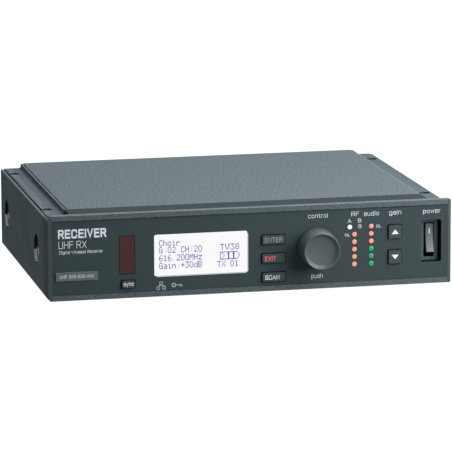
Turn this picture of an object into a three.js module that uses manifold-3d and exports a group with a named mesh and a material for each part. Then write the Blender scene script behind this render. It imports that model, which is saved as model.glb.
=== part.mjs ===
// Half-rack wireless microphone receiver, one rack unit high.
// Millimetres. +X runs to the right seen from the front, +Z up, and the front panel faces -Y.
// The origin is at the middle of the footprint, at the height that the unit stands on.

import * as THREE from 'three';
import { mergeVertices } from 'three/addons/utils/BufferGeometryUtils.js';
import Module from 'manifold-3d';

const wasm = await Module();
wasm.setup();

// ---- Driving dimensions ----------------------------------------------------------------------

const WIDTH = 197;
const HEIGHT = 41;
const BODY_DEPTH = 151;
const KNOB_OUT = 11; // the knob in front of the front frame
const BNC_OUT = 9; // the antenna connectors behind the rear panel
const FRONT_Y = -(KNOB_OUT + BODY_DEPTH + BNC_OUT) / 2 + KNOB_OUT;
const REAR_Y = FRONT_Y + BODY_DEPTH;
const HALF_W = WIDTH / 2;
const GAP = 0.3; // clearance between neighbouring pieces

// Sheet-metal case
const SHEET = 1;
const SIDE_WALL = 1.3;
const LEDGE_Z = 38.6; // top of the side ledges, below the raised cover
const WALL_Z = 38.2; // top of the tray's side walls, just below the ledges
const STEP_X = 88.2; // outer face of the cover's step
const STEP_WALL = 1.8;
const RAIL = { width: 1.1, drop: 0.3, groove: 0.3, grooveDepth: 0.7 }; // along each side of the raised cover
const FOOT = 0.5; // fillet strip where the step meets the ledge
const CASE_FRONT = 17; // where the sheet-metal case starts, behind the front plane
const COVER_FRONT = 17.8;
const LEDGE_FRONT = 4.6;
const LEDGE_HOLE = { radius: 2.75, x: 94.1, depths: [32.4, 134.4] };
const RACK_HOLE = { radius: 7.2, z: 18.5, depths: [38.4, 131.9] };

// Front frame and panel moulding
const FRAME_DEPTH = 4.2;
const FRAME_SIDE = 1.4;
const FACE_Z = [2.5, 38.6];
const FACE_BACK = 0.7; // the panel face sits back from the frame
const FACE_THICK = 2.5;
const FACE_REAR = FACE_BACK + FACE_THICK;

// Front panel layout: x from the centre line, z from the base
const IR = { x: -60.95, z: 20.8, w: 7.8, h: 18.8 };
const DISPLAY = { x: -24.95, z: 19.75, w: 45.7, h: 20.3 };
const PLATE = { x: -85.35, z: 11.65, w: 20.3, h: 4.3 };
const KNOB = { x: 31.8, z: 20.25, base: 9.6, tip: 8.7, dish: 6.7, dishDepth: 1, cup: 7.6, cupDepth: 3.6 };
const MENU = { x: 10.4, w: 12, h: 5.2, levels: { enter: 25.05, exit: 15.95, scan: 6.75 } };
const SYNC = { x: -60.6, z: 6.6, w: 7.1, h: 4.5 };
const GAIN = { x: 70.6, w: 7.2, h: 7.4, levels: { gain_up: 26.2, gain_down: 13.8 } };
const LED_PITCH = 3.65;
const LED_TOP = 29.36;
const LED_RADIUS = 1.25;
const RF_X = 50.5;
const AUDIO_X = 58.85;
const ANTENNA_X = [48.2, 53.1];
const SWITCH = { x: 88.6, z: 20.8, w: 9.7, h: 20.8 };
const SWITCH_SLACK = 0.5; // extra room at the right of the switch in its opening

// Controls
const BUTTON = { proud: 1, clear: 0.45, flange: 0.6, flangeThick: 1, corner: 0.5, stem: 1.4, stemEnd: 6.6 };
const TACT = { half: 3, front: 8, plunger: 1.6, plungerFront: 7.5 };
const FRONT_BOARD = 11; // front face of the control board behind the front plane
const BOARD_THICK = 1.6;
const SHAFT = { radius: 3, start: -8.9, end: 8.4, collar: 3.7, collarThick: 1 };
const ENCODER = { half: 6.5, front: 4.2, back: 10.7, neck: 4.5, neckFront: -2.2, flats: 12, nut: [-1.6, 0.5] };
const ROCKER = { pivot: 6.0, reach: 8.1, tilt: 10, w: 3.9, slotW: 5.2, slotH: 16.9, face: 4.2 };

// Inside
const MAIN_BOARD_Z = 6;
const STANDOFFS = [[-80, -44], [80, -44], [-80, 52], [80, 52]];

// Rear connectors, x from the centre line
const REAR_MID = 20;
const BNC_X = { a: 84, b: -84 };
const DC_X = 62;
const HOOK_X = 48;
const ETHERNET_X = 30;
const LEVEL_X = 8;
const XLR_X = -18;
const JACK_X = -50;
const REAR_SCREWS = [[-68, 34], [74, 34]];
const SOCKET_LOW = -12; // the connector blocks stand this far below their axes, on the main board
const BNC = { neck: 6, barrel: 4.85, bore: 4.1, lug: 1, lugSpan: 5.6, lugAt: 6.6, nutFlats: 15, nutBack: 2.3 };
const BNC_CORE = { insulator: 2.4, pin: 0.7 };
const DC = { neck: 4.9, bore: 3.1, depth: 11, pin: 1 };
const XLR = { cup: 11.3, bore: 9.3, depth: 13, flange: [26, 31], pin: 1.2, pinCircle: 4.2 };
const JACK = { neck: 5.6, bore: 3.3, depth: 24, nutFlats: 14, nutBack: 2.5 };
const SCREW = { head: 2.9, headOut: 1.8, shank: 1.5, length: 6 };
const SINK = 0.5; // how far one primitive runs into the next inside one piece

// ---- Finishes --------------------------------------------------------------------------------

function finish(color, roughness, metalness) {
  return new THREE.MeshStandardMaterial({ color, roughness, metalness });
}

const PAINT = finish(0x3b4346, 0.6, 0.2);
const FRAME_PAINT = finish(0x4a5356, 0.5, 0.2);
const PANEL = finish(0x2a3133, 0.7, 0);
const RUBBER = finish(0x222729, 0.9, 0);
const KEY = finish(0x262c2e, 0.6, 0);
const GREY_LABEL = finish(0x5b6467, 0.6, 0);
const SCREEN = finish(0xf6f7f8, 0.2, 0);
const DARK_RED = finish(0x401a18, 0.2, 0);
const CLEAR = finish(0xe8ecec, 0.15, 0);
const BARE_STEEL = finish(0xb9bcbd, 0.35, 0.9);
const NICKEL = finish(0xc9c7c0, 0.25, 1);
const BLACK_PLASTIC = finish(0x17191a, 0.5, 0);
const WHITE_PLASTIC = finish(0xe6e4de, 0.5, 0);
const BOARD_GREEN = finish(0x1d5236, 0.5, 0);

// ---- Solids ----------------------------------------------------------------------------------

function solid(geometry) {
  const bare = geometry.index ? geometry.toNonIndexed() : geometry.clone();
  bare.deleteAttribute('normal');
  bare.deleteAttribute('uv');
  const merged = mergeVertices(bare, 1e-4);
  const vertProperties = new Float32Array(merged.attributes.position.array);
  const triVerts = new Uint32Array(merged.index.array);
  return new wasm.Manifold(new wasm.Mesh({ numProp: 3, vertProperties, triVerts }));
}

function geometryOf(body) {
  const mesh = body.getMesh();
  const geometry = new THREE.BufferGeometry();
  geometry.setAttribute('position', new THREE.BufferAttribute(new Float32Array(mesh.vertProperties), 3));
  geometry.setIndex(new THREE.BufferAttribute(new Uint32Array(mesh.triVerts), 1));
  const flat = geometry.toNonIndexed();
  flat.computeVertexNormals();
  return flat;
}

function join(...pieces) {
  return pieces.map(solid).reduce((whole, piece) => whole.add(piece));
}

function cut(body, ...pieces) {
  return pieces.map(solid).reduce((rest, piece) => rest.subtract(piece), body);
}

function block([x0, x1], [y0, y1], [z0, z1]) {
  const box = new THREE.BoxGeometry(x1 - x0, y1 - y0, z1 - z0);
  return box.translate((x0 + x1) / 2, (y0 + y1) / 2, (z0 + z1) / 2);
}

// A round bar along Y, centred on x, z.
function rodY(radius, [y0, y1], x = 0, z = 0, sides = 32) {
  const rod = new THREE.CylinderGeometry(radius, radius, y1 - y0, sides);
  return rod.translate(x, (y0 + y1) / 2, z);
}

// A round bar along X, centred on y, z.
function rodX(radius, [x0, x1], y = 0, z = 0, sides = 32) {
  const rod = new THREE.CylinderGeometry(radius, radius, x1 - x0, sides);
  return rod.rotateZ(Math.PI / 2).translate((x0 + x1) / 2, y, z);
}

// A round bar along Z, centred on x, y.
function rodZ(radius, [z0, z1], x = 0, y = 0, sides = 24) {
  const rod = new THREE.CylinderGeometry(radius, radius, z1 - z0, sides);
  return rod.rotateX(Math.PI / 2).translate(x, y, (z0 + z1) / 2);
}

// An outline in x and z, pushed along Y.
function alongY(outline, [y0, y1]) {
  const push = new THREE.ExtrudeGeometry(outline, { depth: y1 - y0, bevelEnabled: false, curveSegments: 6 });
  return push.rotateX(Math.PI / 2).translate(0, y1, 0);
}

// A rectangle with round corners, centred on x, z.
function rounded(w, h, r, x = 0, z = 0) {
  const shape = new THREE.Shape();
  const [left, right, low, high] = [x - w / 2, x + w / 2, z - h / 2, z + h / 2];
  shape.moveTo(left + r, low);
  shape.lineTo(right - r, low);
  shape.absarc(right - r, low + r, r, -Math.PI / 2, 0);
  shape.lineTo(right, high - r);
  shape.absarc(right - r, high - r, r, 0, Math.PI / 2);
  shape.lineTo(left + r, high);
  shape.absarc(left + r, high - r, r, Math.PI / 2, Math.PI);
  shape.lineTo(left, low + r);
  shape.absarc(left + r, low + r, r, Math.PI, Math.PI * 1.5);
  return shape;
}

// A hexagon across the flats, centred on x, z, pushed along Y.
function hexY(flats, [y0, y1], x = 0, z = 0) {
  return rodY(flats / Math.sqrt(3), [y0, y1], x, z, 6);
}

function piece(name, body, material) {
  const mesh = new THREE.Mesh(body instanceof THREE.BufferGeometry ? body : geometryOf(body), material);
  mesh.name = name;
  return mesh;
}

const receiver = new THREE.Group();
const front = new THREE.Group(); // y runs back from the front plane
front.position.y = FRONT_Y;
const rear = new THREE.Group(); // y runs out from the rear panel's outer face
rear.position.y = REAR_Y;
receiver.add(front, rear);

// ---- Case ------------------------------------------------------------------------------------

function chassisTray() {
  const depth = [CASE_FRONT, BODY_DEPTH];
  const walls = [-1, 1].map((side) => {
    const edge = [side * HALF_W, side * (HALF_W - SIDE_WALL)].sort((a, b) => a - b);
    return block(edge, depth, [0, WALL_Z]);
  });
  const floor = block([-HALF_W, HALF_W], depth, [0, SHEET]);
  const bosses = STANDOFFS.map(([x, y]) => rodZ(3, [SHEET / 2, MAIN_BOARD_Z - 0.1], x, y - FRONT_Y));
  const holes = RACK_HOLE.depths.map((y) =>
    rodX(RACK_HOLE.radius, [-HALF_W - 1, HALF_W + 1], y, RACK_HOLE.z, 48));
  return cut(join(floor, ...walls, ...bosses), ...holes);
}

function topCover() {
  const inner = HALF_W - SIDE_WALL - GAP;
  const railX = STEP_X - RAIL.width;
  const plateX = railX - RAIL.groove;
  const half = [
    [0, HEIGHT], [plateX, HEIGHT], [plateX, HEIGHT - RAIL.grooveDepth], [railX, HEIGHT - RAIL.grooveDepth],
    [railX, HEIGHT - RAIL.drop], [STEP_X, HEIGHT - RAIL.drop],
    [STEP_X, LEDGE_Z + FOOT], [STEP_X + FOOT, LEDGE_Z + FOOT], [STEP_X + FOOT, LEDGE_Z],
    [inner, LEDGE_Z], [inner, 30], [inner - SHEET, 30], [inner - SHEET, LEDGE_Z - SHEET],
    [STEP_X - STEP_WALL, LEDGE_Z - SHEET], [STEP_X - STEP_WALL, HEIGHT - SHEET], [0, HEIGHT - SHEET],
  ];
  const mirrored = half.slice(1, -1).reverse().map(([x, z]) => [-x, z]);
  const outline = new THREE.Shape([...half, ...mirrored].map(([x, z]) => new THREE.Vector2(x, z)));
  const sheet = solid(alongY(outline, [LEDGE_FRONT, BODY_DEPTH - 0.1]));
  const noseX = STEP_X + FOOT;
  const nose = block([-noseX, noseX], [0, COVER_FRONT], [30, HEIGHT + 1]);
  const flanges = block([-HALF_W, HALF_W], [0, COVER_FRONT], [29, LEDGE_Z - SHEET]);
  const holes = LEDGE_HOLE.depths.flatMap((y) =>
    [-1, 1].map((side) => rodZ(LEDGE_HOLE.radius, [36, 40], side * LEDGE_HOLE.x, y)));
  return cut(sheet, nose, flanges, ...holes);
}

function rearPanel() {
  const inner = HALF_W - SIDE_WALL - GAP;
  const low = LEDGE_Z - SHEET - GAP;
  const high = HEIGHT - SHEET - GAP;
  const stepX = STEP_X - STEP_WALL - GAP;
  const floor = SHEET + GAP;
  const outline = [
    [-inner + SHEET + GAP, floor], [inner - SHEET - GAP, floor], [inner - SHEET - GAP, low],
    [stepX, low], [stepX, high], [-stepX, high], [-stepX, low], [-inner + SHEET + GAP, low],
  ];
  const shape = new THREE.Shape(outline.map(([x, z]) => new THREE.Vector2(x, z)));
  const through = [-3, 1];
  const holes = [
    rodY(BNC.neck + GAP, through, BNC_X.a, REAR_MID),
    rodY(BNC.neck + GAP, through, BNC_X.b, REAR_MID),
    rodY(DC.neck + GAP, through, DC_X, REAR_MID),
    block([ETHERNET_X - 8.4, ETHERNET_X + 8.4], through, [REAR_MID - 7.1, REAR_MID + 7.1]),
    block([LEVEL_X - 4.6, LEVEL_X + 4.6], through, [REAR_MID - 2.4, REAR_MID + 2.4]),
    rodY(XLR.cup + 0.4, through, XLR_X, REAR_MID, 48),
    rodY(JACK.neck + GAP, through, JACK_X, REAR_MID),
    ...REAR_SCREWS.map(([x, z]) => rodY(SCREW.shank + 0.4, through, x, z, 16)),
  ];
  return cut(solid(alongY(shape, [-SHEET - 0.2, 0])), ...holes);
}

front.add(piece('chassis_tray', chassisTray(), PAINT));
front.add(piece('top_cover', topCover(), PAINT));
rear.add(piece('rear_panel', rearPanel(), PAINT));

// Threaded plates behind the round side holes, for rack ears
function rackPlate(side, y) {
  const outer = HALF_W - SIDE_WALL - GAP;
  const x = [side * outer, side * (outer - 1.5)].sort((a, b) => a - b);
  const boss = [side * (outer - 1), side * (outer - 5)].sort((a, b) => a - b);
  const plate = join(block(x, [y - 10, y + 10], [8, 28]), rodX(4.5, boss, y, RACK_HOLE.z));
  return cut(plate, rodX(2.1, [-HALF_W, HALF_W], y, RACK_HOLE.z));
}

for (const [side, hand] of [[-1, 'left'], [1, 'right']]) {
  RACK_HOLE.depths.forEach((y, i) => {
    const end = i === 0 ? 'front' : 'rear';
    front.add(piece(`rack_plate_${hand}_${end}`, rackPlate(side, y), BARE_STEEL));
  });
}

// ---- Front frame and panel moulding -----------------------------------------------------------

function frontFrame() {
  const outer = alongY(rounded(WIDTH, HEIGHT, 0.5, 0, HEIGHT / 2), [0, FRAME_DEPTH]);
  const open = block([-HALF_W + FRAME_SIDE, HALF_W - FRAME_SIDE], [-1, FRAME_DEPTH + 1], FACE_Z);
  return cut(solid(outer), open);
}

function panelMoulding() {
  const faceX = HALF_W - FRAME_SIDE - 0.2;
  const [faceLow, faceHigh] = [FACE_Z[0] + 0.2, FACE_Z[1] - 0.2];
  const back = FRAME_DEPTH + GAP;
  const wall = 2;
  const hollowLow = 3.2; // clears the flanges of the lowest buttons
  const ledgeClear = LEDGE_Z - SHEET - 0.4;
  const deckX = STEP_X - GAP;
  const deckRear = COVER_FRONT - GAP;
  const cheekRear = CASE_FRONT - GAP;
  const body = join(
    block([-faceX, faceX], [FACE_BACK, FACE_REAR], [faceLow, faceHigh]),
    block([-faceX, faceX], [FACE_REAR - SINK, back + 2], [faceLow, ledgeClear]),
    block([-HALF_W, HALF_W], [back, back + 2], [0, ledgeClear]),
    block([-HALF_W, HALF_W], [back, cheekRear], [0, 1.5]),
    block([-HALF_W, -HALF_W + SIDE_WALL], [back, cheekRear], [0, WALL_Z]),
    block([HALF_W - SIDE_WALL, HALF_W], [back, cheekRear], [0, WALL_Z]),
    block([-deckX, deckX], [back, back + 2], [ledgeClear - 1, HEIGHT]),
    block([-deckX, deckX], [back, deckRear], [HEIGHT - 1.4, HEIGHT]),
    block([-deckX, -deckX + 1.5], [back, deckRear], [LEDGE_Z + 0.2, HEIGHT]),
    block([deckX - 1.5, deckX], [back, deckRear], [LEDGE_Z + 0.2, HEIGHT]),
  );
  const hollow = block([-faceX + wall, faceX - wall], [FACE_REAR, back + 3], [hollowLow, ledgeClear - 1]);
  const collar = alongY(rounded(SWITCH.w + 3.3, SWITCH.h + 2.4, 1.5, SWITCH.x - 0.1, SWITCH.z), [2, 6.5]);
  const through = [-1, 8];
  const window = (at, r) => alongY(rounded(at.w, at.h, r, at.x, at.z), through);
  const openings = [
    window(IR, 0.4),
    window(DISPLAY, 1),
    window(SYNC, 0.5),
    ...Object.values(MENU.levels).map((z) => window({ ...MENU, z }, 0.5)),
    ...Object.values(GAIN.levels).map((z) => window({ ...GAIN, z }, 0.8)),
    window({ ...SWITCH, x: SWITCH.x + SWITCH_SLACK / 2, w: SWITCH.w + SWITCH_SLACK }, 1),
    rodY(ENCODER.neck + GAP, through, KNOB.x, KNOB.z),
    ...ledPlaces().map(([x, z]) => rodY(LED_RADIUS + 0.25, through, x, z, 16)),
  ];
  return cut(cut(body, hollow).add(solid(collar)), ...openings);
}

function ledPlaces() {
  const level = (i) => LED_TOP - i * LED_PITCH;
  const rf = [1, 2, 3, 4, 5].map((i) => [RF_X, level(i)]);
  const audio = [0, 1, 2, 3, 4, 5].map((i) => [AUDIO_X, level(i)]);
  const antenna = ANTENNA_X.map((x) => [x, LED_TOP]);
  return [...antenna, ...rf, ...audio];
}

front.add(piece('front_frame', frontFrame(), FRAME_PAINT));
front.add(piece('panel_moulding', panelMoulding(), PANEL));

// ---- Windows, display and light pipes ----------------------------------------------------------

function inset(at, y, r = 0.4) {
  return alongY(rounded(at.w - 0.4, at.h - 0.4, r, at.x, at.z), y);
}

front.add(piece('ir_window', inset(IR, [0.8, 2.8]), DARK_RED));
front.add(piece('display_window', inset(DISPLAY, [0.8, 2.4], 0.8), CLEAR));
const plateOutline = rounded(PLATE.w, PLATE.h, 0.3, PLATE.x, PLATE.z);
front.add(piece('frequency_plate', alongY(plateOutline, [0.2, 0.65]), GREY_LABEL));

function lcdModule() {
  const glass = block([DISPLAY.x - 25, DISPLAY.x + 25], [3.5, 6], [DISPLAY.z - 12.5, DISPLAY.z + 12.5]);
  const backlight = block([DISPLAY.x - 26, DISPLAY.x + 26], [5.5, 9], [DISPLAY.z - 13.5, DISPLAY.z + 13.5]);
  return join(glass, backlight);
}

front.add(piece('lcd_module', lcdModule(), SCREEN));

// One clear moulding for each group of indicators: a bar with a pin into each hole.
function lightPipe(places) {
  const xs = places.map(([x]) => x);
  const zs = places.map(([, z]) => z);
  const bar = block(
    [Math.min(...xs) - 1.9, Math.max(...xs) + 1.9],
    [FACE_REAR + GAP, FACE_REAR + 2],
    [Math.min(...zs) - 1.6, Math.max(...zs) + 1.6],
  );
  return join(bar, ...places.map(([x, z]) => rodY(LED_RADIUS, [0.5, FACE_REAR + 1], x, z, 16)));
}

const LEDS = ledPlaces();
front.add(piece('antenna_light_pipe', lightPipe(LEDS.slice(0, 2)), CLEAR));
front.add(piece('rf_light_pipe', lightPipe(LEDS.slice(2, 7)), CLEAR));
front.add(piece('audio_light_pipe', lightPipe(LEDS.slice(7)), CLEAR));

// ---- Push buttons with their switches ----------------------------------------------------------

// A cap that stands proud of the panel, held by a flange behind it, with a stem that meets its switch.
function button(w, h) {
  const cap = rounded(w - 2 * BUTTON.clear, h - 2 * BUTTON.clear, BUTTON.corner);
  const [halfW, halfH] = [w / 2 + BUTTON.flange, h / 2 + BUTTON.flange];
  const flange = FACE_REAR + GAP;
  return join(
    alongY(cap, [FACE_BACK - BUTTON.proud, flange + SINK]),
    block([-halfW, halfW], [flange, flange + BUTTON.flangeThick], [-halfH, halfH]),
    rodY(BUTTON.stem, [flange + SINK, BUTTON.stemEnd], 0, 0, 16),
  );
}

function tactSwitch() {
  const side = [-TACT.half, TACT.half];
  const plunger = rodY(TACT.plunger, [TACT.plungerFront, TACT.front + SINK], 0, 0, 16);
  return join(block(side, [TACT.front, FRONT_BOARD - 0.1], side), plunger);
}

function addButton(name, x, z, w, h, material) {
  const cap = piece(`${name}_button`, button(w, h), material);
  const sensor = piece(`${name}_switch`, tactSwitch(), BLACK_PLASTIC);
  cap.position.set(x, 0, z);
  sensor.position.set(x, 0, z);
  front.add(cap, sensor);
}

addButton('sync', SYNC.x, SYNC.z, SYNC.w, SYNC.h, KEY);
for (const [name, z] of Object.entries(MENU.levels)) {
  addButton(name, MENU.x, z, MENU.w, MENU.h, KEY);
}
for (const [name, z] of Object.entries(GAIN.levels)) {
  addButton(name, GAIN.x, z, GAIN.w, GAIN.h, KEY);
}

// ---- Control knob and its encoder --------------------------------------------------------------

const dial = new THREE.Group();
dial.position.set(KNOB.x, 0, KNOB.z);
front.add(dial);

function controlKnob() {
  const dish = -KNOB_OUT + KNOB.dishDepth;
  const bore = SHAFT.radius + GAP;
  const boreEnd = SHAFT.start - GAP;
  const profile = [
    [0, dish], [KNOB.dish, dish], [KNOB.tip - 0.6, -KNOB_OUT], [KNOB.tip - 0.4, -KNOB_OUT],
    [KNOB.tip, -KNOB_OUT + 0.5], [KNOB.tip + 0.25, -5], [KNOB.base, -0.8], [KNOB.base, 0],
    [KNOB.cup, 0], [KNOB.cup, -KNOB.cupDepth], [bore, -KNOB.cupDepth], [bore, boreEnd], [0, boreEnd],
  ];
  const turned = new THREE.LatheGeometry(profile.map(([r, y]) => new THREE.Vector2(r, y)), 72);
  return solid(turned);
}

function encoderShaft() {
  const collar = rodY(SHAFT.collar, [SHAFT.end - SHAFT.collarThick, SHAFT.end]);
  return join(rodY(SHAFT.radius, [SHAFT.start, SHAFT.end]), collar);
}

function encoderBody() {
  const side = [-ENCODER.half, ENCODER.half];
  const neck = rodY(ENCODER.neck, [ENCODER.neckFront, ENCODER.front + SINK]);
  const chamber = rodY(SHAFT.collar + SINK, [SHAFT.end - 1.6, ENCODER.back + 1]);
  const bore = rodY(SHAFT.radius + GAP, [ENCODER.neckFront - 1, ENCODER.back + 1]);
  return cut(join(block(side, [ENCODER.front, ENCODER.back], side), neck), bore, chamber);
}

function encoderNut() {
  return cut(join(hexY(ENCODER.flats, ENCODER.nut)), rodY(ENCODER.neck + GAP, [-3, 3]));
}

dial.add(piece('control_knob', controlKnob(), RUBBER));
dial.add(piece('encoder_shaft', encoderShaft(), NICKEL));
dial.add(piece('encoder_plunger', rodY(SHAFT.collar - GAP, [SHAFT.end + GAP, 10]), WHITE_PLASTIC));
dial.add(piece('encoder_body', encoderBody(), BARE_STEEL));
dial.add(piece('encoder_nut', encoderNut(), NICKEL));

// ---- Power switch ------------------------------------------------------------------------------

const power = new THREE.Group();
power.position.set(SWITCH.x, 0, SWITCH.z);
front.add(power);

function switchHousing() {
  const frame = alongY(rounded(SWITCH.w - 0.4, SWITCH.h - 0.4, 0.8), [ROCKER.face, 19]);
  const slot = block(
    [-ROCKER.slotW / 2, ROCKER.slotW / 2], [ROCKER.face - 1, 14], [-ROCKER.slotH / 2, ROCKER.slotH / 2]);
  return cut(solid(frame), slot, rodX(1.3, [-4.2, 4.2], ROCKER.pivot, 0, 16));
}

// The rocker turns about its pin. Its round ends keep clear of the slot at every angle.
function rocker() {
  const outline = new THREE.Shape();
  const corner = (70 * Math.PI) / 180;
  const heel = (105 * Math.PI) / 180;
  const at = (angle) => [-ROCKER.reach * Math.cos(angle), ROCKER.reach * Math.sin(angle)];
  const steps = [0, 1, 2, 3, 4, 5].map((i) => corner + ((heel - corner) * i) / 5);
  const upper = [[-1.7, 0], ...steps.map(at), [4.2, 1.6]];
  const lower = upper.slice(1).reverse().map(([y, z]) => [y, -z]);
  [...upper, ...lower].forEach(([y, z], i) => (i ? outline.lineTo(z, -y) : outline.moveTo(z, -y)));
  const push = new THREE.ExtrudeGeometry(outline, { depth: ROCKER.w, bevelEnabled: false });
  // The outline holds (z, -y) and is pushed along its third axis, which becomes x.
  const turn = new THREE.Matrix4().set(0, 0, 1, -ROCKER.w / 2, 0, -1, 0, 0, 1, 0, 0, 0, 0, 0, 0, 1);
  return solid(push.applyMatrix4(turn)).add(solid(rodX(1, [-3.9, 3.9], 0, 0, 16)));
}

const rockerMesh = piece('power_rocker', rocker(), BLACK_PLASTIC);
rockerMesh.position.y = ROCKER.pivot;
rockerMesh.rotation.x = (-ROCKER.tilt * Math.PI) / 180;
power.add(piece('power_switch_housing', switchHousing(), BLACK_PLASTIC), rockerMesh);

// ---- Boards and shields ------------------------------------------------------------------------

function frontBoard() {
  const y = [FRONT_BOARD, FRONT_BOARD + BOARD_THICK];
  return block([-70, 80], y, [3.5, 35.5]);
}

function mainBoard() {
  return block([-90, 90], [CASE_FRONT + 4, BODY_DEPTH - 4], [MAIN_BOARD_Z, MAIN_BOARD_Z + BOARD_THICK]);
}

// An open-bottomed pressed cover over one radio section.
function shield(x, y, z) {
  const inner = ([a, b]) => [a + 0.8, b - 0.8];
  return cut(join(block(x, y, z)), block(inner(x), inner(y), [z[0] - 1, z[1] - 0.8]));
}

const boardTop = MAIN_BOARD_Z + BOARD_THICK + 0.1;
front.add(piece('front_board', frontBoard(), BOARD_GREEN));
front.add(piece('main_board', mainBoard(), BOARD_GREEN));
front.add(piece('board_link', block([-40, -10], [14, 30], [boardTop, boardTop + 5]), WHITE_PLASTIC));
front.add(piece('rf_shield_a', shield([42, 86], [56, 112], [boardTop, 15]), NICKEL));
front.add(piece('rf_shield_b', shield([-86, -42], [56, 112], [boardTop, 15]), NICKEL));
front.add(piece('processor_shield', shield([-24, 24], [48, 96], [boardTop, 13]), NICKEL));

// ---- Rear connectors ---------------------------------------------------------------------------

// Bayonet antenna connector: block on the board, threaded neck through the panel, barrel with two lugs.
function bncBody() {
  const shell = join(
    block([-7, 7], [-15, -2], [SOCKET_LOW, 7]),
    rodY(BNC.neck, [-2 - SINK, 3]),
    rodY(BNC.barrel, [2, BNC_OUT]),
    rodX(BNC.lug, [-BNC.lugSpan, BNC.lugSpan], BNC.lugAt, 0, 16),
  );
  return cut(shell, rodY(BNC.bore, [-3, BNC_OUT + 1]));
}

function bncContact() {
  return join(
    rodY(BNC_CORE.insulator, [-2.8, 5.5], 0, 0, 24),
    rodY(BNC_CORE.pin, [5, 7], 0, 0, 12),
  );
}

// A hexagon nut that clears the neck it sits on.
function panelNut(flats, back, neck) {
  return cut(join(hexY(flats, [0.1, back])), rodY(neck + GAP, [-1, back + 1]));
}

for (const [letter, x] of Object.entries(BNC_X)) {
  const connector = new THREE.Group();
  connector.position.set(x, 0, REAR_MID);
  connector.add(piece(`bnc_${letter}_body`, bncBody(), NICKEL));
  connector.add(piece(`bnc_${letter}_contact`, bncContact(), WHITE_PLASTIC));
  connector.add(piece(`bnc_${letter}_nut`, panelNut(BNC.nutFlats, BNC.nutBack, BNC.neck), NICKEL));
  rear.add(connector);
}

function dcInlet() {
  const shell = join(block([-7, 7], [-15, -1.6], [SOCKET_LOW, 6.5]), rodY(DC.neck, [-2, 0.6]));
  return cut(shell, rodY(DC.bore, [-DC.depth, 2]));
}

function cordHook() {
  return join(
    block([-3.5, 3.5], [0.1, 1.5], [-8, 8]),
    block([-2, 2], [1, 8], [4, 6]),
    block([-2, 2], [6.3, 8], [-3, 6]),
  );
}

function ethernetJack() {
  const [side, depth] = [[-8.1, 8.1], [-12, 1]];
  const shell = join(block(side, [-17, -1.6], [SOCKET_LOW, 6.8]), block(side, [-2, 0.4], [-6.8, 6.8]));
  const plugSpace = block([-6, 6], depth, [-4.3, 3.6]);
  const latchSpace = block([-3, 3], depth, [-6, 0]);
  return cut(shell, plugSpace, latchSpace);
}

function levelSwitch() {
  const shell = join(block([-7, 7], [-9, -1.6], [SOCKET_LOW, 3.2]));
  return cut(shell, block([-4.2, 4.2], [-6, 0], [-2, 2]));
}

function levelSlider() {
  return join(block([-2.3, 2.3], [-5.6, -2.2], [-1.7, 1.7]), block([-1.2, 1.2], [-3, 0.8], [-1.5, 1.5]));
}

function xlrShell() {
  const flange = alongY(rounded(...XLR.flange, 2), [0.1, 1.7]);
  const barrel = rodY(XLR.cup, [-XLR.depth - 3, 1], 0, 0, 64);
  const cup = join(flange, barrel, block([-10, 10], [-18, -8], [SOCKET_LOW, 8]));
  const screwHoles = [[-9.5, 12], [9.5, -12]].map(([x, z]) => rodY(1.7, [-1, 3], x, z, 16));
  return cut(cup, rodY(XLR.bore, [-XLR.depth, 3], 0, 0, 64), ...screwHoles);
}

function xlrContacts() {
  const disc = rodY(XLR.bore - GAP, [-XLR.depth + GAP, -11], 0, 0, 48);
  const pins = [90, 210, 330].map((angle) => {
    const turn = (angle * Math.PI) / 180;
    return rodY(XLR.pin, [-12, -1], XLR.pinCircle * Math.cos(turn), -XLR.pinCircle * Math.sin(turn), 16);
  });
  return join(disc, ...pins);
}

function jackSocket() {
  const shell = join(block([-8, 8], [-JACK.depth - 3, -1.6], [SOCKET_LOW, 8]), rodY(JACK.neck, [-2, 3]));
  return cut(shell, rodY(JACK.bore, [-JACK.depth, 4]));
}

function rearPiece(name, body, material, x, z = REAR_MID) {
  const mesh = piece(name, body, material);
  mesh.position.set(x, 0, z);
  rear.add(mesh);
}

rearPiece('dc_inlet', dcInlet(), BLACK_PLASTIC, DC_X);
rearPiece('dc_inlet_pin', rodY(DC.pin, [-DC.depth + GAP, -0.6], 0, 0, 16), NICKEL, DC_X);
rearPiece('cord_hook', cordHook(), BLACK_PLASTIC, HOOK_X);
rearPiece('ethernet_jack', ethernetJack(), NICKEL, ETHERNET_X);
rearPiece('level_switch', levelSwitch(), BARE_STEEL, LEVEL_X);
rearPiece('level_slider', levelSlider(), BLACK_PLASTIC, LEVEL_X - 1.5);
rearPiece('xlr_shell', xlrShell(), BLACK_PLASTIC, XLR_X);
rearPiece('xlr_contacts', xlrContacts(), NICKEL, XLR_X);
rearPiece('jack_socket', jackSocket(), BLACK_PLASTIC, JACK_X);
rearPiece('jack_nut', panelNut(JACK.nutFlats, JACK.nutBack, JACK.neck), NICKEL, JACK_X);
REAR_SCREWS.forEach(([x, z], i) => {
  const head = rodY(SCREW.head, [0.1, SCREW.headOut], 0, 0, 24);
  const screw = join(head, rodY(SCREW.shank, [-SCREW.length, SINK], 0, 0, 16));
  rearPiece(`rear_screw_${i + 1}`, screw, BARE_STEEL, x, z);
});

export default receiver;
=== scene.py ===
"""Looks for a half-rack wireless microphone receiver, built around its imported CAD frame."""

import math

import bmesh
import bpy
from mathutils import Matrix, Vector


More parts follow.
